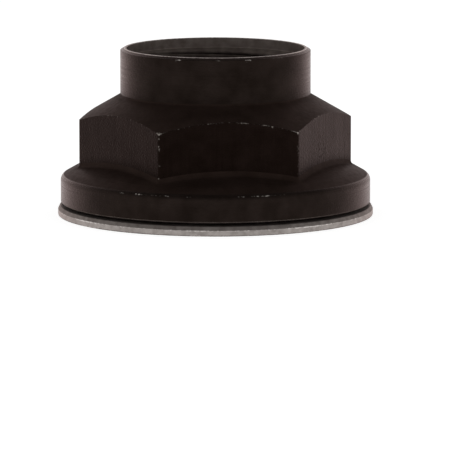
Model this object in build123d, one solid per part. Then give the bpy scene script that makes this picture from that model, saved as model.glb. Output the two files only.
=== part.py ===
"""Flanged spindle nut with a staking collar and a captive washer that turns freely.

Millimetres. +Z runs up the thread towards the collar. The origin is the centre of the
washer's lower face, where the nut bears on the hub. Two opposite flats face -Y and +Y.
"""

from build123d import *
import math
import os

# Thread, M22 x 1.5: the bore is cut to its minor diameter and the ridges are left out.
THREAD_D = 22.0
THREAD_PITCH = 1.5
MINOR_FACTOR = 1.0825

# Heights above the nut's bearing ring
NUT_H = 19.8
COLLAR_H = 5.9
RIM_H = 3.58

# Hexagon for a 30 mm socket
HEX_AF = 30.0
HEX_CORNER_R = 0.45
HEX_FOOT_BEVEL = 0.45
CAP_ANGLE = 30.0

# Thin collar that is staked into the spindle's keyway
COLLAR_WALL = 0.75
COLLAR_FOOT_R = 0.3
COLLAR_BEVEL_W = 0.5
MOUTH_EXTRA_R = 0.25
MOUTH_DEPTH = 1.25

# Lead-in at the lower end of the thread
ENTRY_EXTRA_R = 0.2

# Flange, reaching past the hexagon's corners
FLANGE_REACH = 2.23
CROWN_R = 47.0
SHOULDER_W = 1.65
SHOULDER_SLOPE = 29.7
RIM_TOP_R = 0.8
RIM_FOOT_BEVEL = 0.12
RELIEF_W = 1.9
RELIEF_H = 0.32

# Captive washer, reaching past the flange
WASHER_REACH = 0.35
WASHER_T = 1.2
WASHER_TOP_BEVEL_W = 0.25
WASHER_TOP_BEVEL_H = 0.5
WASHER_FOOT_BEVEL = 0.12

# Spigot under the flange, set in from its rim, and the swaged lip that holds the washer
SPIGOT_INSET = 5.15
LIP_REACH = 0.4
LIP_LAND = 0.05
LIP_SETBACK = 0.2
SWAGE_GROOVE_DEPTH = 0.35
SWAGE_GROOVE_INSET = 0.7

# Fits between nut and washer
SPIGOT_CLEARANCE = 0.08
AXIAL_PLAY = 0.08
LIP_PLAY = 0.12

OVERLAP = 1.0
NUT_COLOUR = Color(0.10, 0.095, 0.09)
WASHER_COLOUR = Color(0.45, 0.44, 0.43)


def minor_r():
    """Radius of the thread's crests in the nut."""
    return (THREAD_D - MINOR_FACTOR * THREAD_PITCH) / 2


def mouth_r():
    """Plain bore at the collar's mouth, clear of the spindle's thread."""
    return THREAD_D / 2 + MOUTH_EXTRA_R


def entry_r():
    """Widest radius of the lead-in at the nut's lower end."""
    return THREAD_D / 2 + ENTRY_EXTRA_R


def collar_r():
    """Outside of the collar."""
    return mouth_r() + COLLAR_WALL


def flange_r():
    """Outside of the flange."""
    return HEX_AF / math.sqrt(3) + FLANGE_REACH


def washer_r():
    """Outside of the washer."""
    return flange_r() + WASHER_REACH


def spigot_r():
    """Outside of the spigot that the washer turns on."""
    return flange_r() - SPIGOT_INSET


def bearing_z():
    """Plane of the nut's bearing ring, just clear of the washer."""
    return WASHER_T + AXIAL_PLAY


def crest_z():
    """Top of the collar."""
    return bearing_z() + NUT_H


def collar_foot_z():
    """Where the collar meets the cone that caps the hexagon."""
    return crest_z() - COLLAR_H


def lip_neck_z():
    """Where the swaged lip starts to flare from the spigot."""
    return LIP_SETBACK + LIP_LAND + LIP_REACH


def shoulder_r():
    """Where the flange's crowned top turns down into the steeper shoulder."""
    return flange_r() - SHOULDER_W


def shoulder_z():
    """Height of that turn."""
    return bearing_z() + RIM_H + SHOULDER_W * math.tan(math.radians(SHOULDER_SLOPE))


def crown_z(radius):
    """Height of the flange's top inside the shoulder, part of a sphere centred on the axis."""
    drop = math.sqrt(CROWN_R**2 - shoulder_r() ** 2)
    return shoulder_z() - drop + math.sqrt(CROWN_R**2 - radius**2)


def turned(points, arc=None, rounds=()):
    """Solid of revolution about Z from an (r, z) outline, some of its corners rounded.

    The outline closes with a straight line, or with an arc through the given point.
    """
    corners = [Vector(r, 0, z) for r, z in points]
    if arc:
        closing = ThreePointArc(corners[-1], Vector(arc[0], 0, arc[1]), corners[0])
        outline = make_face(Polyline(*corners) + closing)
    else:
        outline = make_face(Polyline(*corners, close=True))
    for index, radius in rounds:
        outline = fillet(outline.vertices().sort_by_distance(corners[index])[0], radius)
    return revolve(outline, Axis.Z)


def head():
    """Collar, cone and hexagon: a turned blank with six flats cut on it."""
    low = bearing_z()
    foot = collar_foot_z()
    reach = HEX_AF
    cone = math.tan(math.radians(CAP_ANGLE))
    blank = turned(
        [
            (0, low),
            (reach, low),
            (reach, foot - (reach - collar_r()) * cone),
            (collar_r(), foot),
            (collar_r(), crest_z() - COLLAR_BEVEL_W * cone),
            (collar_r() - COLLAR_BEVEL_W, crest_z()),
            (0, crest_z()),
        ],
        rounds=[(3, COLLAR_FOOT_R)],
    )
    flats = extrude(Pos(0, 0, low) * RegularPolygon(HEX_AF / 2, 6, major_radius=False), NUT_H)
    flats = fillet(flats.edges().filter_by(Axis.Z), HEX_CORNER_R)
    return blank & flats


def flange():
    """Flange: bearing ring, relieved rim, shoulder and a crown that rises to the hexagon."""
    rim = flange_r()
    low = bearing_z()
    inner = collar_r()
    middle = (shoulder_r() + inner) / 2
    return turned(
        [
            (inner, crown_z(inner)),
            (0, crown_z(inner)),
            (0, low),
            (rim - RELIEF_W, low),
            (rim - RELIEF_W, low + RELIEF_H),
            (rim - RIM_FOOT_BEVEL, low + RELIEF_H),
            (rim, low + RELIEF_H + RIM_FOOT_BEVEL),
            (rim, low + RIM_H),
            (shoulder_r(), shoulder_z()),
        ],
        arc=(middle, crown_z(middle)),
        rounds=[(7, RIM_TOP_R)],
    )


def hexagon_foot(body):
    """Edges where the hexagon's flats and corners meet the flange's crown."""

    def on_crown(point):
        return abs(point.Z - crown_z(math.hypot(point.X, point.Y))) < 0.01

    def at_foot(edge):
        inside = math.hypot(edge.center().X, edge.center().Y) < shoulder_r() - 0.1
        return inside and all(on_crown(edge.position_at(t)) for t in (0, 0.3, 0.7, 1))

    return body.edges().filter_by(at_foot)


def spigot():
    """Spigot below the bearing ring, its end swaged outward into a retaining lip."""
    outer = spigot_r()
    tip = outer + LIP_REACH
    groove_r = outer - SWAGE_GROOVE_INSET
    low = LIP_SETBACK
    return turned(
        [
            (0, low),
            (groove_r - SWAGE_GROOVE_DEPTH, low),
            (groove_r, low + SWAGE_GROOVE_DEPTH),
            (groove_r + SWAGE_GROOVE_DEPTH, low),
            (tip, low),
            (tip, low + LIP_LAND),
            (outer, lip_neck_z()),
            (outer, bearing_z() + OVERLAP),
            (0, bearing_z() + OVERLAP),
        ]
    )


def bore():
    """Everything cut out along the axis: lead-in, thread at its minor radius, plain mouth."""
    low = LIP_SETBACK
    entry = entry_r()
    minor = minor_r()
    mouth = mouth_r()
    floor = crest_z() - MOUTH_DEPTH
    return turned(
        [
            (0, low - OVERLAP),
            (entry, low - OVERLAP),
            (entry, low),
            (minor, low + entry - minor),
            (minor, floor - mouth + minor),
            (mouth, floor),
            (mouth, crest_z() + OVERLAP),
            (0, crest_z() + OVERLAP),
        ]
    )


def nut():
    """The nut, one piece of steel."""
    body = head() + flange()
    body = chamfer(hexagon_foot(body), HEX_FOOT_BEVEL)
    body = body + spigot() - bore()
    body.label = "nut"
    body.color = NUT_COLOUR
    return body


def captive_washer():
    """Flat washer, countersunk underneath for the nut's lip."""
    hole = spigot_r() + SPIGOT_CLEARANCE
    sink = lip_neck_z() - SPIGOT_CLEARANCE + LIP_PLAY
    rim = washer_r()
    ring = turned(
        [
            (hole + sink, 0),
            (rim - WASHER_FOOT_BEVEL, 0),
            (rim, WASHER_FOOT_BEVEL),
            (rim, WASHER_T - WASHER_TOP_BEVEL_H),
            (rim - WASHER_TOP_BEVEL_W, WASHER_T),
            (hole, WASHER_T),
            (hole, sink),
        ]
    )
    ring.label = "captive_washer"
    ring.color = WASHER_COLOUR
    return ring


def main():
    os.makedirs("parts", exist_ok=True)
    export_step(nut(), "parts/nut.step")
    export_step(captive_washer(), "parts/captive_washer.step")


main()
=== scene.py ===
"""Spindle nut, dressed for the render: a black-oxide flanged hexagon nut with a staking
collar, its right-hand thread, and the pale captive washer that it stands on."""

import math

import bpy
import numpy as np
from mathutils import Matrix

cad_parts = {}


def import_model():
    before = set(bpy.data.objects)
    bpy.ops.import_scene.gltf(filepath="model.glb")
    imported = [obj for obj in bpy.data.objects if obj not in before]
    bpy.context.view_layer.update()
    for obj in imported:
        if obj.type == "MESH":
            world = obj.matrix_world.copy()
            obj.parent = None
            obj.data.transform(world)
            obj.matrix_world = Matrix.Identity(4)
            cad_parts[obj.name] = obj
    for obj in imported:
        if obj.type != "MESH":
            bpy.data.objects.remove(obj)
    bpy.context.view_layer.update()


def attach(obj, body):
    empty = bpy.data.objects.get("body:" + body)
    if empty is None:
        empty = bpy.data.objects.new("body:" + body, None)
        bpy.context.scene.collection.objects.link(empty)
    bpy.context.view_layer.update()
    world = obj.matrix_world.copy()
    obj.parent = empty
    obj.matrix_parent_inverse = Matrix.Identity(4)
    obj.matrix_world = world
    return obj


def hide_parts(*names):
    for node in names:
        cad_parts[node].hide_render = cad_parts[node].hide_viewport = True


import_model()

MM = 0.001

# Sizes in millimetres. They are the solids' own, except the thread's root and pitch, which the
# solids leave out, and the rolling fillet HEX_FOOT_R, where the solids have a bevel.
MINOR_R = 10.188
ROOT_R = 11.0
PITCH = 1.5
MOUTH_R = 11.25
ENTRY_R = 11.2
COLLAR_R = 12.0
CREST_Z = 21.08
COLLAR_FOOT_Z = 15.18
MOUTH_FLOOR_Z = 19.83
BEVEL_W = 0.5
CAP_SLOPE = math.tan(math.radians(30))
HEX_HALF = 15.0
HEX_CORNER_R = 0.45
HEX_FOOT_R = 0.75
FLANGE_R = 19.55
RIM_Z = 4.86
RIM_TOP_R = 0.8
CROWN_R = 47.0
SHOULDER_R = 17.9
SHOULDER_Z = 5.80
RIM_FOOT_BEVEL = 0.12
RELIEF_Z = 1.60
RELIEF_R = 17.65
BEARING_Z = 1.28
SPIGOT_R = 14.4
LIP_R = 14.8
LIP_Z = 0.2
LIP_LAND = 0.05
LIP_NECK = 0.45
GROOVE_INSET = 0.7
GROOVE_DEPTH = 0.35
WASHER_R = 19.9
WASHER_T = 1.2
WASHER_BEVEL_W = 0.25
WASHER_BEVEL_H = 0.5
WASHER_HOLE_R = 14.48
COUNTERSINK = 0.69


def srgb(code):
    """Linear RGBA from an sRGB hex code."""
    channels = [int(code[i : i + 2], 16) / 255 for i in (1, 3, 5)]
    linear = [c / 12.92 if c <= 0.04045 else ((c + 0.055) / 1.055) ** 2.4 for c in channels]
    return (*linear, 1.0)


def add(tree, kind, inputs=None, **settings):
    """Adds a node; an input's value is a constant or another node's output."""
    made = tree.nodes.new(kind)
    for name, value in settings.items():
        setattr(made, name, value)
    for key, value in (inputs or {}).items():
        if isinstance(value, bpy.types.NodeSocket):
            tree.links.new(value, made.inputs[key])
        else:
            made.inputs[key].default_value = value
    return made


def calc(tree, operation, a, b=0.0):
    """Arithmetic on one or two numbers."""
    return add(tree, "ShaderNodeMath", {0: a, 1: b}, operation=operation).outputs[0]


def remap(tree, value, start, stop, low=0.0, high=1.0, curve="LINEAR"):
    """The value carried from the range start to stop over to low to high, and held there."""
    inputs = {0: value, 1: start, 2: stop, 3: low, 4: high}
    return add(tree, "ShaderNodeMapRange", inputs, interpolation_type=curve).outputs[0]


def from_axis(tree, place):
    """A place's part across the axis, its distance from the axis, and its height."""
    x, y, z = add(tree, "ShaderNodeSeparateXYZ", {0: place}).outputs
    across = add(tree, "ShaderNodeCombineXYZ", {0: x, 1: y}).outputs[0]
    radius = add(tree, "ShaderNodeVectorMath", {0: across}, operation="LENGTH").outputs["Value"]
    return across, radius, z


def placed(name, data):
    """New object in the scene, at the origin and unturned."""
    made = bpy.data.objects.new(name, data)
    bpy.context.scene.collection.objects.link(made)
    return made


# Outlines of the turned pieces


# An extra point this close to each rounding, in mm, keeps the shading beside it flat; on a short
# run it stands at this share of the run instead.
HOLD = 0.035
HOLD_SHARE = 0.2


def rounded(corners):
    """Closed outline with rounded corners.

    A corner is (r, z, radius, arc steps, run steps), where the run is the straight part
    after it; a corner of radius 0 is a plain point on a curve.
    Returns points (r, z) and the corner that each belongs to.
    """
    count = len(corners)
    arcs = []
    for k, (r, z, radius, arc_steps, _) in enumerate(corners):
        here = np.array([r, z])
        if radius == 0:
            arcs.append([here])
            continue
        back = np.array(corners[k - 1][:2]) - here
        ahead = np.array(corners[(k + 1) % count][:2]) - here
        back /= np.linalg.norm(back)
        ahead /= np.linalg.norm(ahead)
        half = math.acos(max(-1.0, min(1.0, float(back @ ahead)))) / 2
        bisector = (back + ahead) / np.linalg.norm(back + ahead)
        centre = here + bisector * radius / math.sin(half)
        first = here + back * radius / math.tan(half) - centre
        last = here + ahead * radius / math.tan(half) - centre
        turn = math.pi - 2 * half
        steps = np.linspace(0, 1, arc_steps + 1)
        swings = [math.sin((1 - t) * turn) * first + math.sin(t * turn) * last for t in steps]
        arcs.append([centre + swing / math.sin(turn) for swing in swings])
    points, owner = [], []
    for k, arc in enumerate(arcs):
        start, stop = arc[-1], arcs[(k + 1) % count][0]
        length = np.linalg.norm(stop - start)
        near = min(HOLD / length, HOLD_SHARE)
        run = [near, *np.linspace(0, 1, corners[k][4] + 2)[1:-1], 1 - near]
        points += [*arc, *(start + (stop - start) * t for t in run)]
        owner += [k] * (len(arc) + len(run))
    return np.array(points), owner


# Angle from the middle of a flat to where its broken corner starts
TANGENT = math.atan((HEX_HALF - HEX_CORNER_R) * math.tan(math.pi / 6) / HEX_HALF)

# Points across a flat, steps round a corner, and degrees from a corner to the point beside it
FLAT_POINTS = 45
CORNER_STEPS = 6
BESIDE_CORNER = 0.12


def hex_radius(theta):
    """Distance from the axis to the hexagon's side, flats facing -Y and +Y, corners broken."""
    off = abs((theta - math.pi / 2 + math.pi / 6) % (math.pi / 3) - math.pi / 6)
    if off <= TANGENT:
        return HEX_HALF / math.cos(off)
    beside = math.pi / 6 - off
    centre = (HEX_HALF - HEX_CORNER_R) / math.cos(math.pi / 6)
    return centre * math.cos(beside) + math.sqrt(HEX_CORNER_R**2 - (centre * math.sin(beside)) ** 2)


def hex_angles():
    """Angles round the nut, close together where the broken corners turn."""
    tangent = math.degrees(TANGENT)
    flat = list(np.linspace(-tangent, tangent, FLAT_POINTS))
    sector = [flat[0], flat[0] + BESIDE_CORNER, *flat[1:-1], flat[-1] - BESIDE_CORNER, flat[-1]]
    sector += [tangent + (60 - 2 * tangent) * k / CORNER_STEPS for k in range(1, CORNER_STEPS)]
    return np.radians([90 + 60 * side + a for side in range(6) for a in sector])


def cap_z(radius):
    """Height of the 30 degree cone that caps the hexagon."""
    return COLLAR_FOOT_Z - (radius - COLLAR_R) * CAP_SLOPE


def crown_z(radius):
    """Height of the flange's top: a shallow sphere, then the steeper shoulder to the rim."""
    if radius > SHOULDER_R:
        return SHOULDER_Z - (radius - SHOULDER_R) * (SHOULDER_Z - RIM_Z) / (FLANGE_R - SHOULDER_R)
    return SHOULDER_Z + math.sqrt(CROWN_R**2 - radius**2) - math.sqrt(CROWN_R**2 - SHOULDER_R**2)


# Points on the crown, as shares of the way from the hexagon to the rim
CROWN_STEPS = (0.3, 0.42, 0.54, 0.66, 0.76, 0.82)

# Places in the list that nut_corners gives, and the nut's finishes in the order of nut_steels
COLLAR_FOOT, CAP_EDGE, HEX_FOOT = 3, 4, 5
RIM_TOP = HEX_FOOT + 1 + len(CROWN_STEPS)
TURNED, MATTE, BROACHED, TAPPED, FACED = range(5)


def nut_corners(theta):
    """The nut's section at an angle: over the crest, down the outside, up through the bore."""
    h = hex_radius(theta)
    groove_r = SPIGOT_R - GROOVE_INSET
    crown = [(r, crown_z(r), 0, 0, 1) for r in (h + (FLANGE_R - h) * t for t in CROWN_STEPS)]
    return [
        (MOUTH_R, CREST_Z, 0.03, 2, 1),
        (COLLAR_R - BEVEL_W, CREST_Z, 0.05, 2, 3),
        (COLLAR_R, CREST_Z - BEVEL_W * CAP_SLOPE, 0.08, 3, 14),
        (COLLAR_R, COLLAR_FOOT_Z, 0.3, 6, 12),
        (h, cap_z(h), 0.06, 3, 18),
        (h, crown_z(h), HEX_FOOT_R, 9, 1),
        *crown,
        (FLANGE_R, RIM_Z, RIM_TOP_R, 14, 10),
        (FLANGE_R, RELIEF_Z + RIM_FOOT_BEVEL, 0.05, 2, 0),
        (FLANGE_R - RIM_FOOT_BEVEL, RELIEF_Z, 0.04, 2, 3),
        (RELIEF_R, RELIEF_Z, 0.1, 2, 0),
        (RELIEF_R, BEARING_Z, 0.05, 2, 4),
        (SPIGOT_R, BEARING_Z, 0.1, 2, 0),
        (SPIGOT_R, LIP_Z + LIP_NECK, 0.1, 3, 0),
        (LIP_R, LIP_Z + LIP_LAND, 0.02, 2, 0),
        (LIP_R, LIP_Z, 0.02, 2, 1),
        (groove_r + GROOVE_DEPTH, LIP_Z, 0.04, 2, 0),
        (groove_r, LIP_Z + GROOVE_DEPTH, 0.06, 3, 0),
        (groove_r - GROOVE_DEPTH, LIP_Z, 0.04, 2, 3),
        (ENTRY_R, LIP_Z, 0.05, 2, 0),
        (ROOT_R, LIP_Z + ENTRY_R - ROOT_R, 0.03, 2, 20),
        (ROOT_R, MOUTH_FLOOR_Z - MOUTH_R + ROOT_R, 0.03, 2, 0),
        (MOUTH_R, MOUTH_FLOOR_Z, 0.05, 2, 6),
    ]


def nut_finish(corner, count):
    """Which finish the nut has at a corner of its section and on the run after it."""
    # The mouth, and the four corners from the rim's foot to the bearing ring
    if corner == count - 1 or RIM_TOP < corner <= RIM_TOP + 4:
        return FACED
    # The bore, from the lead-in to the mouth's floor
    if corner >= count - 4:
        return TAPPED
    if corner == CAP_EDGE:
        return BROACHED
    if corner == COLLAR_FOOT or HEX_FOOT <= corner < RIM_TOP:
        return MATTE
    return TURNED


# Place in the list that washer_corners gives
SHEARED_SIDE = 2


def washer_corners(_):
    """The washer's section, the same at every angle: top, worn upper rim, sheared side, hole."""
    return [
        (WASHER_HOLE_R, WASHER_T, 0.05, 2, 8),
        (WASHER_R - WASHER_BEVEL_W, WASHER_T, 0.15, 4, 1),
        (WASHER_R, WASHER_T - WASHER_BEVEL_H, 0.12, 4, 4),
        (WASHER_R, 0, 0.12, 5, 10),
        (WASHER_HOLE_R + COUNTERSINK, 0, 0.05, 2, 1),
        (WASHER_HOLE_R, COUNTERSINK, 0.05, 2, 1),
    ]


# Worn places. Bearings are degrees from the flat that faces -Y, turning towards +X; the
# places that the photograph shows come first, and the hidden half gets as many of its kind.
# A rub is (bearing, half width in degrees, strength); one of width ALL_ROUND goes right round.
ALL_ROUND = 400


def more_rubs(seed, count, strength):
    """Rubbed places spread over the half of the nut that the photograph hides."""
    dice = np.random.default_rng(seed)
    return [
        (dice.uniform(75, 270), dice.uniform(1.5, 5), strength * dice.uniform(0.5, 1))
        for _ in range(count)
    ]


CREST_RUBS = [(0, ALL_ROUND, 1.2), (-50, 14, 1.7), (12, 10, 1.6), (55, 14, 1.7)]
BEVEL_RUBS = [(-28, 3, 1.0), (-5, 2.5, 0.7), (13.5, 3, 0.9), (33, 5, 0.6), *more_rubs(3, 7, 0.8)]
CAP_RUBS = [(0, ALL_ROUND, 0.42), (7.3, 1.3, 1.0), (17, 1.0, 0.9), (20, 0.9, 0.9)]
CAP_RUBS += [(23.5, 0.8, 0.6), (28.6, 1.4, 1.1), (-30, 1.5, 1.5), (-46, 4, 0.45)]
CAP_RUBS += [(44, 8, 0.4), *more_rubs(5, 9, 0.9)]
RIM_RUBS = [(-42.5, 1.2, 0.8), (-35, 2.6, 0.9), (-29.5, 0.7, 0.7), (-27.2, 1.0, 0.9)]
RIM_RUBS += [(-24.4, 1.0, 0.8), (-16.6, 1.6, 0.5), (3.9, 1.6, 0.8), (8.7, 1.5, 0.7)]
RIM_RUBS += [(12.5, 2.2, 0.85), (15.6, 1.2, 0.95), (20, 2.0, 0.5), *more_rubs(8, 12, 0.85)]
RIM_FOOT_RUBS = more_rubs(9, 6, 0.7)

# On each upright corner of the hexagon, by its bearing: height and reach in mm, strength
CORNER_RUBS = {
    -30: [(12.15, 0.30, 1.2), (10.8, 1.0, 0.6), (8.19, 0.18, 0.85), (6.6, 0.12, 0.8)],
    30: [(12.1, 0.30, 1.1), (9.4, 2.5, 0.5)],
    90: [(12.1, 0.25, 1.0), (8.8, 0.5, 0.7)],
    150: [(12.0, 0.20, 0.9), (10.2, 0.7, 0.6), (7.6, 0.3, 0.8)],
    210: [(12.1, 0.30, 1.0), (9.6, 0.3, 0.8)],
    270: [(11.9, 0.25, 1.0), (8.2, 1.2, 0.5)],
}
CORNER_RUB_W = 0.16

# Pitted places on the flats: bearing, height, half width in degrees, half height in mm, strength
PITS = [(54, 8.9, 9, 2.4, 1.0), (-64, 9.6, 12, 1.8, 0.5), (118, 9.2, 11, 2.4, 0.9)]
PITS += [(176, 9.8, 9, 2.0, 0.7), (-122, 9.3, 12, 2.3, 0.8)]

# A point this close to the hexagon's side, in mm, counts as on it.
ON_SIDE = 0.02


def bearings(angles, radius):
    """Bearing of each point of a lathed mesh."""
    return (np.degrees(angles)[:, None] + 90 + 180) % 360 - 180 + 0 * radius


def apart(bearing, centre):
    """Degrees from a centre to a bearing, the short way round."""
    return (bearing - centre + 180) % 360 - 180


def rub_at(places, bearing):
    """How rubbed an edge is at a bearing, from its list of (bearing, half width, strength)."""
    found = np.zeros_like(bearing)
    for centre, width, strength in places:
        off = apart(bearing, centre) / width
        found = np.maximum(found, strength * np.exp(-(off**2)))
    return found


def rub_near(radius, height, line_r, line_z, width):
    """Falls off with the distance in the section from an edge."""
    return np.exp(-((radius - line_r) ** 2 + (height - line_z) ** 2) / width**2)


def nut_rubs(bearing, side, radius, height):
    """How rubbed the nut is at each point of its mesh, from 0 to about 1."""
    found = np.zeros_like(radius)
    # Each edge's rubs, where the edge lies in the section, and how far a rub spreads from it
    for places, line_r, line_z, width in (
        (CREST_RUBS, COLLAR_R - BEVEL_W, CREST_Z, 0.07),
        (CREST_RUBS, MOUTH_R, CREST_Z, 0.06),
        (BEVEL_RUBS, COLLAR_R, CREST_Z - BEVEL_W * CAP_SLOPE, 0.09),
        (CAP_RUBS, side, cap_z(side), 0.09),
        (RIM_RUBS, FLANGE_R - 0.12, RIM_Z - 0.02, 0.11),
        (RIM_FOOT_RUBS, FLANGE_R, RELIEF_Z + RIM_FOOT_BEVEL, 0.1),
        ([(0, ALL_ROUND, 0.45)], RELIEF_R, BEARING_Z, 0.06),
        ([(0, ALL_ROUND, 0.5)], LIP_R, LIP_Z, 0.06),
    ):
        edge = rub_near(radius, height, line_r, line_z, width) * rub_at(places, bearing)
        found = np.maximum(found, edge)
    for corner, places in CORNER_RUBS.items():
        off = np.radians(apart(bearing, corner)) * radius / CORNER_RUB_W
        on_corner = np.exp(-(off**2)) * (np.abs(radius - side) < ON_SIDE)
        for level, reach, strength in places:
            spot = strength * on_corner * np.exp(-(((height - level) / reach) ** 2))
            found = np.maximum(found, spot)
    return found


def nut_pits(bearing, side, radius, height):
    """How pitted the nut's flats are at each point of its mesh."""
    found = np.zeros_like(radius)
    for centre, level, width, reach, strength in PITS:
        off, rise = apart(bearing, centre) / width, (height - level) / reach
        spot = strength * np.exp(-(off**2) - rise**2) * (np.abs(radius - side) < ON_SIDE)
        found = np.maximum(found, spot)
    return found


def paint_corner_shade(side, radius, height):
    """Painted shade within about 1 mm of the hexagon's foot and the collar's, not inside: it
    darkens these corners.
    """
    foot_z = np.array([crown_z(h) for h in side[:, 0]])[:, None]
    foot = 0.9 * rub_near(radius, height, side, foot_z, 0.9) * (radius > HEX_HALF - 0.1)
    neck = 0.7 * rub_near(radius, height, COLLAR_R, COLLAR_FOOT_Z, 1.1)
    return np.maximum(foot, neck * (radius > MOUTH_R + 0.1))


def nut_wear(angles, radius, height):
    """The nut's attributes: where it is rubbed and pitted, and where shade is painted into its
    corners.
    """
    bearing = bearings(angles, radius)
    side = np.array([hex_radius(a) for a in angles])[:, None]
    return {
        "rubbed": nut_rubs(bearing, side, radius, height),
        "soiled": paint_corner_shade(side, radius, height),
        "pitted": nut_pits(bearing, side, radius, height),
    }


def washer_wear(angles, radius, height):
    """The washer's attribute: its rim is rubbed bright all round, more in places."""
    places = [(0, ALL_ROUND, 0.55), (-60, 12, 1.0), (-12, 8, 0.9), (30, 14, 1.0)]
    places += more_rubs(4, 8, 1.0)
    top = rub_near(radius, height, WASHER_R, WASHER_T - WASHER_BEVEL_H, 0.12)
    foot = rub_near(radius, height, WASHER_R, 0.05, 0.1)
    return {"rubbed": np.maximum(top, foot) * rub_at(places, bearings(angles, radius))}


def lathe(name, section, wear, angles):
    """Closed mesh through a section taken at every angle, with its worn places.

    Returns it with the corner of the section that each face of one slice belongs to.
    """
    slices = [rounded(section(theta)) for theta in angles]
    around, along = len(angles), len(slices[0][0])
    turn = np.array(angles)[:, None]
    profile = np.array([points for points, _ in slices])
    radius, height = profile[:, :, 0], profile[:, :, 1]
    verts = np.stack([radius * np.cos(turn), radius * np.sin(turn), height], axis=-1) * MM
    i, j = np.meshgrid(np.arange(around), np.arange(along), indexing="ij")
    i2, j2 = (i + 1) % around, (j + 1) % along
    faces = np.stack([i * along + j, i * along + j2, i2 * along + j2, i2 * along + j], axis=-1)
    mesh = bpy.data.meshes.new(name)
    mesh.from_pydata(verts.reshape(-1, 3).tolist(), [], faces.reshape(-1, 4).tolist())
    for label, value in wear(angles, radius, height).items():
        made = mesh.attributes.new(label, "FLOAT", "POINT")
        made.data.foreach_set("value", value.ravel().astype(np.float32))
    mesh.shade_smooth()
    return placed(name, mesh), slices[0][1]


def dress(made, finishes, chosen, around):
    """Gives a lathed piece its finishes, chosen for each face of one slice."""
    for finish in finishes:
        made.data.materials.append(finish)
    index = np.tile(chosen, around).astype(np.int32)
    made.data.polygons.foreach_set("material_index", index)


# Steel and its skins. A turning feed of 0.1 mm, a broach's lines of 0.1 mm and a skin's tooth of
# 0.02 mm are finer than the picture's 0.12 mm, so they are drawn 0.2 to 0.6 mm wide to show.


def scaled(tree, place, factors):
    """A place with its x, y and z multiplied, which stretches a pattern where a factor is small."""
    return add(tree, "ShaderNodeMapping", {"Vector": place, "Scale": factors}).outputs[0]


def noise(tree, place, width, detail):
    """Soft noise of a width in metres, from 0 to 1."""
    inputs = {"Vector": place, "Scale": 1 / width, "Detail": detail}
    return add(tree, "ShaderNodeTexNoise", inputs).outputs["Fac"]


def rings(tree, place, feed):
    """Height of a lathe's tool marks: rings about the axis, on walls and on faces."""
    _, radius, z = from_axis(tree, place)
    section = add(tree, "ShaderNodeCombineXYZ", {0: radius, 1: z}).outputs[0]
    return noise(tree, section, feed, 1.0)


def streaks(tree, place, width):
    """Height of the lines that a broach leaves, fifty times as long as wide."""
    return noise(tree, scaled(tree, place, (1, 1, 0.02)), width, 3.0)


def grain(tree, place, width):
    """Height of a skin's own crystals or of blasted metal, the same in every direction."""
    return noise(tree, place, width, 2.0)


def blend(tree, share, first, second):
    """Colour between two others."""
    inputs = {0: share, 6: first, 7: second}
    return add(tree, "ShaderNodeMix", inputs, data_type="RGBA").outputs[2]


def attribute(tree, name):
    """A mesh attribute's value."""
    return add(tree, "ShaderNodeAttribute", attribute_name=name).outputs["Fac"]


def bump(tree, height, depth, normal=None):
    """Normal on a surface of that height, over another normal where one is given."""
    inputs = {"Height": height, "Strength": 1.0, "Distance": depth}
    if normal:
        inputs["Normal"] = normal
    return add(tree, "ShaderNodeBump", inputs).outputs[0]


# How wide a rub's ragged edge and a pit are, and how much of the gloss the painted corner shade and
# the pits take
RAGGED_W = 0.3 * MM
PIT_W = 0.16 * MM
CORNER_SHADE_LOSS = 0.62
PIT_LOSS = 0.8


def steel(name, skin, bare, metallic, roughness, marks, tooth, mottle):
    """Steel under a skin that is mottled, marked by how it was cut, and rubbed at its edges.

    skin is the darkest and lightest colour; marks is a height pattern's function, width and
    depth, and tooth the width and depth of the fine grain over it.
    """
    material = bpy.data.materials.new(name)
    material.use_nodes = True
    tree = material.node_tree
    tree.nodes.clear()
    place = add(tree, "ShaderNodeTexCoord").outputs["Object"]

    cloud = remap(tree, noise(tree, place, mottle, 4.0), 0.3, 0.7)
    colour = blend(tree, cloud, srgb(skin[0]), srgb(skin[1]))

    # The rub is broken up by the roughness of whatever rubbed it.
    ragged = remap(tree, noise(tree, place, RAGGED_W, 2.0), 0.3, 0.7, -0.35, 0.35)
    worn = calc(tree, "ADD", attribute(tree, "rubbed"), ragged)
    worn = remap(tree, worn, 0.4, 1.1, curve="SMOOTHSTEP")
    colour = blend(tree, worn, colour, srgb(bare))
    metal = remap(tree, worn, 0.0, 1.0, metallic, 1.0)

    # The painted shade in the corners, and pits, take away the metal's gloss, which darkens them.
    # Pits are the noise's peaks,
    # # twice as tall as wide.
    # Painted shade: the corners lose gloss, so they render darker.
    corner_shade = calc(tree, "MULTIPLY", attribute(tree, "soiled"), CORNER_SHADE_LOSS)
    tall = scaled(tree, place, (1, 1, 0.5))
    pit = remap(tree, noise(tree, tall, PIT_W, 1.0), 0.52, 0.68, 0.0, PIT_LOSS)
    pit = calc(tree, "MULTIPLY", pit, attribute(tree, "pitted"))
    lost = calc(tree, "MAXIMUM", corner_shade, pit)
    metal = calc(tree, "MULTIPLY", metal, calc(tree, "SUBTRACT", 1.0, lost))

    pattern, width, depth = marks
    height = pattern(tree, place, width)
    rough = remap(tree, height, 0.3, 0.7, roughness - 0.05, roughness + 0.05)
    tooth_width, tooth_depth = tooth
    cut = bump(tree, height, depth)
    relief = bump(tree, grain(tree, place, tooth_width), tooth_depth, cut)
    shader = add(
        tree,
        "ShaderNodeBsdfPrincipled",
        {
            "Base Color": colour,
            "Metallic": metal,
            "Roughness": rough,
            "Specular IOR Level": 0.0,
            "Specular Tint": srgb("#fff0ee"),
            "Normal": relief,
        },
    )
    add(tree, "ShaderNodeOutputMaterial", {"Surface": shader.outputs[0]})
    return material


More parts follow.
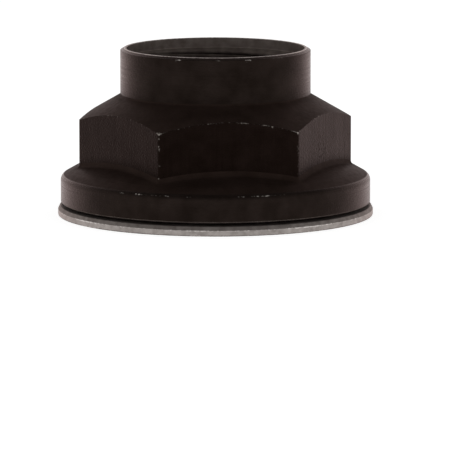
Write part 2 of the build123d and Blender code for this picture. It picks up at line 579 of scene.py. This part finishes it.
def nut_steels():
    """The nut's finishes, in the order of TURNED, MATTE, BROACHED, TAPPED and FACED."""
    return [
        # Hot black oxide over a fine-turned cut: near-black and satin, with faint rings.
        steel(
            "black_oxide_on_fine_turned_steel",
            ("#1b1512", "#261f1c"),
            "#b5aea8",
            metallic=0.95,
            roughness=0.29,
            marks=(rings, 0.22 * MM, 0.001 * MM),
            tooth=(0.22 * MM, 0.036 * MM),
            mottle=2.5 * MM,
        ),
        # The same oxide over a forged and descaled skin: dull, with a fine even tooth.
        steel(
            "black_oxide_on_descaled_forged_steel",
            ("#261d19", "#2e2420"),
            "#8f8882",
            metallic=0.55,
            roughness=0.48,
            marks=(grain, 0.5 * MM, 0.003 * MM),
            tooth=(0.22 * MM, 0.016 * MM),
            mottle=1.8 * MM,
        ),
        # The same oxide over broached flats: straight lines along the axis, a little dull.
        steel(
            "black_oxide_on_broached_steel",
            ("#160f0c", "#1d1512"),
            "#8f8882",
            metallic=0.95,
            roughness=0.46,
            marks=(streaks, 0.26 * MM, 0.014 * MM),
            tooth=(0.2 * MM, 0.062 * MM),
            mottle=2.0 * MM,
        ),
        # The bore with its thread: a thinner skin, so it is greyer than outside.
        steel(
            "thin_oxide_on_tapped_steel",
            ("#463e3a", "#58504b"),
            "#a39c96",
            metallic=0.5,
            roughness=0.55,
            marks=(rings, 0.2 * MM, 0.003 * MM),
            tooth=(0.2 * MM, 0.006 * MM),
            mottle=1.2 * MM,
        ),
        # Mouth, relief and bearing ring, as if faced after the bath: grey, a little oxide left.
        steel(
            "faced_steel_with_oxide_left_in_its_tool_marks",
            ("#5c534e", "#756b66"),
            "#b5aea8",
            metallic=0.5,
            roughness=0.42,
            marks=(rings, 0.2 * MM, 0.002 * MM),
            tooth=(0.2 * MM, 0.01 * MM),
            mottle=1.2 * MM,
        ),
    ]


def washer_steels():
    """The washer's two finishes: its rolled faces with the drawn-in upper rim, and its cut side."""
    return [
        # Cold-rolled strip, dulled by handling and by the oil that seeps from the nut.
        steel(
            "oily_rolled_steel_strip",
            ("#645d59", "#7f7874"),
            "#a9a39f",
            metallic=0.7,
            roughness=0.45,
            marks=(grain, 0.6 * MM, 0.008 * MM),
            tooth=(0.2 * MM, 0.02 * MM),
            mottle=0.9 * MM,
        ),
        # The side that the die cut: fresh, pale and a little torn.
        steel(
            "sheared_steel_edge",
            ("#8b8480", "#a7a09c"),
            "#d6d0cc",
            metallic=1.0,
            roughness=0.42,
            marks=(grain, 0.5 * MM, 0.012 * MM),
            tooth=(0.2 * MM, 0.025 * MM),
            mottle=0.7 * MM,
        ),
    ]


# Geometry Nodes


def new_tree(name, sizes):
    """Geometry tree with a geometry input and output and named sizes."""
    tree = bpy.data.node_groups.new(name, "GeometryNodeTree")
    tree.interface.new_socket("Geometry", in_out="INPUT", socket_type="NodeSocketGeometry")
    for label, (kind, value) in sizes.items():
        socket = tree.interface.new_socket(label, in_out="INPUT", socket_type=kind)
        if value is not None:
            socket.default_value = value
    tree.interface.new_socket("Geometry", in_out="OUTPUT", socket_type="NodeSocketGeometry")
    return tree


def grow(made, tree, values):
    """Runs a tree on an object with its inputs set, and keeps the result as a plain mesh."""
    modifier = made.modifiers.new(tree.name, "NODES")
    modifier.node_group = tree
    for item in tree.interface.items_tree:
        if item.item_type == "SOCKET" and item.in_out == "INPUT" and item.name in values:
            modifier[item.identifier] = values[item.name]
    depsgraph = bpy.context.evaluated_depsgraph_get()
    result = bpy.data.meshes.new_from_object(made.evaluated_get(depsgraph), depsgraph=depsgraph)
    made.modifiers.remove(modifier)
    old = made.data
    made.data = result
    bpy.data.meshes.remove(old)
    return made


# The ridge's root goes this far into the wall, so that no gap shows.
SUNK = 0.06 * MM


def thread_tree():
    """A ridge of the thread's shape that climbs a helix and is cut back by both lead-ins."""
    tree = new_tree(
        "thread_ridge",
        {
            "Pitch": ("NodeSocketFloat", PITCH * MM),
            "Turns": ("NodeSocketFloat", 13.75),
            "Minor Radius": ("NodeSocketFloat", MINOR_R * MM),
            "Root Radius": ("NodeSocketFloat", ROOT_R * MM),
            "Start Height": ("NodeSocketFloat", -0.30 * MM),
            "Lowest": ("NodeSocketFloat", 0.3 * MM),
            "Highest": ("NodeSocketFloat", 20.8 * MM),
            "Hidden Radius": ("NodeSocketFloat", 11.6 * MM),
            "Lower Lead-in": ("NodeSocketFloat", (LIP_Z + ENTRY_R - MINOR_R) * MM),
            "Upper Lead-in": ("NodeSocketFloat", (MOUTH_FLOOR_Z - MOUTH_R + MINOR_R) * MM),
            "Material": ("NodeSocketMaterial", None),
        },
    )
    into = add(tree, "NodeGroupInput").outputs

    # The trapezoid: a 60 degree form with a crest a quarter of the pitch wide
    buried_root = calc(tree, "ADD", into["Root Radius"], SUNK)
    depth = calc(tree, "SUBTRACT", buried_root, into["Minor Radius"])
    middle = calc(tree, "MULTIPLY", calc(tree, "ADD", buried_root, into["Minor Radius"]), 0.5)
    crest = calc(tree, "MULTIPLY", into["Pitch"], 0.25)
    base = calc(tree, "ADD", crest, calc(tree, "MULTIPLY", depth, 2 * math.tan(math.radians(30))))
    climb = calc(tree, "MULTIPLY", into["Pitch"], into["Turns"])
    helix = add(
        tree,
        "GeometryNodeCurveSpiral",
        {
            "Resolution": 96,
            "Rotations": into["Turns"],
            "Start Radius": middle,
            "End Radius": middle,
            "Height": climb,
            "Reverse": True,
        },
    ).outputs[0]
    upright = add(tree, "GeometryNodeSetCurveNormal", {"Curve": helix}, mode="Z_UP").outputs[0]
    ridge = add(
        tree,
        "GeometryNodeCurvePrimitiveQuadrilateral",
        {"Height": depth, "Bottom Width": base, "Top Width": crest, "Offset": 0.0},
        mode="TRAPEZOID",
    ).outputs[0]
    turned_in = add(
        tree, "GeometryNodeTransform", {"Geometry": ridge, "Rotation": (0, 0, math.radians(90))}
    ).outputs[0]
    swept = add(
        tree,
        "GeometryNodeCurveToMesh",
        {"Curve": upright, "Profile Curve": turned_in, "Fill Caps": True},
    ).outputs[0]
    lift = add(tree, "ShaderNodeCombineXYZ", {2: into["Start Height"]}).outputs[0]
    lifted = add(tree, "GeometryNodeSetPosition", {"Geometry": swept, "Offset": lift}).outputs[0]

    # Each point is pushed out to the lead-in cones and on into the wall, where the ends stay.
    here = add(tree, "GeometryNodeInputPosition").outputs[0]
    across, radius, z = from_axis(tree, here)
    above = calc(tree, "MAXIMUM", calc(tree, "SUBTRACT", z, into["Upper Lead-in"]), 0.0)
    below = calc(tree, "MAXIMUM", calc(tree, "SUBTRACT", into["Lower Lead-in"], z), 0.0)
    cone = calc(tree, "ADD", into["Minor Radius"], calc(tree, "ADD", above, below))
    cone = calc(tree, "MINIMUM", cone, into["Hidden Radius"])
    fading = calc(tree, "SUBTRACT", into["Root Radius"], 0.1 * MM)
    bury = remap(tree, cone, fading, into["Root Radius"], 0.0, SUNK)
    wanted = calc(tree, "MAXIMUM", radius, calc(tree, "ADD", cone, bury))
    ratio = calc(tree, "DIVIDE", wanted, radius)
    pushed = add(tree, "ShaderNodeVectorMath", {0: across, "Scale": ratio}, operation="SCALE")
    flat = add(tree, "ShaderNodeSeparateXYZ", {0: pushed.outputs[0]}).outputs

    # What reaches past either end of the nut's wall is pressed back almost to its end.
    sunk = calc(tree, "MAXIMUM", calc(tree, "SUBTRACT", into["Lowest"], z), 0.0)
    risen = calc(tree, "MAXIMUM", calc(tree, "SUBTRACT", z, into["Highest"]), 0.0)
    kept = calc(tree, "ADD", z, calc(tree, "MULTIPLY", sunk, 0.95))
    kept = calc(tree, "SUBTRACT", kept, calc(tree, "MULTIPLY", risen, 0.9))
    target = add(tree, "ShaderNodeCombineXYZ", {0: flat[0], 1: flat[1], 2: kept}).outputs[0]
    cut = add(tree, "GeometryNodeSetPosition", {"Geometry": lifted, "Position": target}).outputs[0]
    real = add(tree, "GeometryNodeRealizeInstances", {"Geometry": cut}).outputs[0]
    clad = {"Geometry": real, "Material": into["Material"]}
    made = add(tree, "GeometryNodeSetMaterial", clad).outputs[0]
    add(tree, "NodeGroupOutput", {"Geometry": made})
    return tree


def thread(finish):
    """The nut's thread as one helical ridge inside the bore."""
    made = placed("nut_thread", bpy.data.meshes.new("nut_thread"))
    grow(made, thread_tree(), {"Material": finish})
    made.data.name = "nut_thread"
    return made


# The studio


# How far the camera stands to the left of the flat that faces -Y
SWING = math.radians(6.2)
PICTURE_PX = 450
SENSOR = 36.0


def camera():
    """Long lens a little above the nut, as the photograph was taken.

    It is placed about a point of the axis, aim_z high, that falls on the given row and column.
    """
    reach, rise, aim_z = 0.6424, math.radians(7.51), 0.010
    focal_px = 5088.0
    row, column = 134.7, 215.4
    data = bpy.data.cameras.new("camera")
    data.sensor_width = SENSOR
    data.lens = focal_px / PICTURE_PX * SENSOR
    data.clip_start, data.clip_end = 0.01, 20
    made = placed("camera", data)
    made.location = (
        -reach * math.cos(rise) * math.sin(SWING),
        -reach * math.cos(rise) * math.cos(SWING),
        aim_z + reach * math.sin(rise),
    )
    dip = rise + math.atan((PICTURE_PX / 2 - row) / focal_px)
    heading = SWING + math.atan((PICTURE_PX / 2 - column) / focal_px)
    made.rotation_euler = (math.pi / 2 - dip, 0, -heading)
    bpy.context.scene.camera = made


def world():
    """White walls, the one behind the camera a little darker, and a dim ceiling.

    The camera itself sees white.
    """
    made = bpy.data.worlds.new("studio")
    bpy.context.scene.world = made
    made.use_nodes = True
    tree = made.node_tree
    tree.nodes.clear()
    direction = add(tree, "ShaderNodeTexCoord").outputs["Generated"]
    up = add(tree, "ShaderNodeSeparateXYZ", {0: direction}).outputs[2]
    ceiling = remap(tree, up, 0.1, 0.9, 1.0, 0.4, curve="SMOOTHSTEP")
    behind = (-math.sin(SWING), -math.cos(SWING), 0)
    product = add(tree, "ShaderNodeVectorMath", {0: direction, 1: behind}, operation="DOT_PRODUCT")
    wall = remap(tree, product.outputs["Value"], 0.2, 1.0, 1.0, 0.78, curve="SMOOTHSTEP")
    level = calc(tree, "MULTIPLY", ceiling, wall)
    seen = add(tree, "ShaderNodeLightPath").outputs["Is Camera Ray"]
    level = add(tree, "ShaderNodeMix", {0: seen, 2: level, 3: 1.0}, data_type="FLOAT").outputs[0]
    shade = add(tree, "ShaderNodeBackground", {"Color": (1, 1, 1, 1), "Strength": level})
    add(tree, "ShaderNodeOutputWorld", {"Surface": shade.outputs[0]})


def floor():
    """Plain white table just under the nut, which keeps a soft shadow.

    It glows only for the camera and in reflections, so that it is as white as the background.
    """
    mesh = bpy.data.meshes.new("table")
    half, z, glowing = 3.0, -0.00002, 0.78
    square = [(-half, -half, z), (half, -half, z), (half, half, z), (-half, half, z)]
    mesh.from_pydata(square, [], [(0, 1, 2, 3)])
    made = placed("table", mesh)
    material = bpy.data.materials.new("white_table_laminate")
    material.use_nodes = True
    tree = material.node_tree
    tree.nodes.clear()
    path = add(tree, "ShaderNodeLightPath").outputs
    seen = calc(tree, "MAXIMUM", path["Is Camera Ray"], path["Is Glossy Ray"])
    seen = calc(tree, "MAXIMUM", seen, path["Is Transmission Ray"])
    strength = calc(tree, "MULTIPLY", seen, glowing)
    glow = add(tree, "ShaderNodeEmission", {"Color": (1, 1, 1, 1), "Strength": strength}).outputs[0]
    body = add(tree, "ShaderNodeBsdfDiffuse", {"Color": srgb("#c4c4c4")}).outputs[0]
    both = add(tree, "ShaderNodeAddShader", {0: glow, 1: body}).outputs[0]
    add(tree, "ShaderNodeOutputMaterial", {"Surface": both})
    mesh.materials.append(material)


def main():
    angles = hex_angles()
    finishes = nut_steels()
    nut, owner = lathe("nut_body", nut_corners, nut_wear, angles)
    chosen = [nut_finish(corner, owner[-1] + 1) for corner in owner]
    dress(nut, finishes, chosen, len(angles))
    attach(nut, "nut")
    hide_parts("nut")

    ridge = thread(finishes[TAPPED])
    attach(ridge, "nut")

    washer_angles = np.radians(np.arange(0, 360, 0.75))
    washer, owner = lathe("washer_ring", washer_corners, washer_wear, washer_angles)
    chosen = [int(corner == SHEARED_SIDE) for corner in owner]
    dress(washer, washer_steels(), chosen, len(washer_angles))
    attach(washer, "captive_washer")
    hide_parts("captive_washer")

    floor()
    world()
    camera()
    bpy.context.scene.view_settings.view_transform = "Standard"


main()
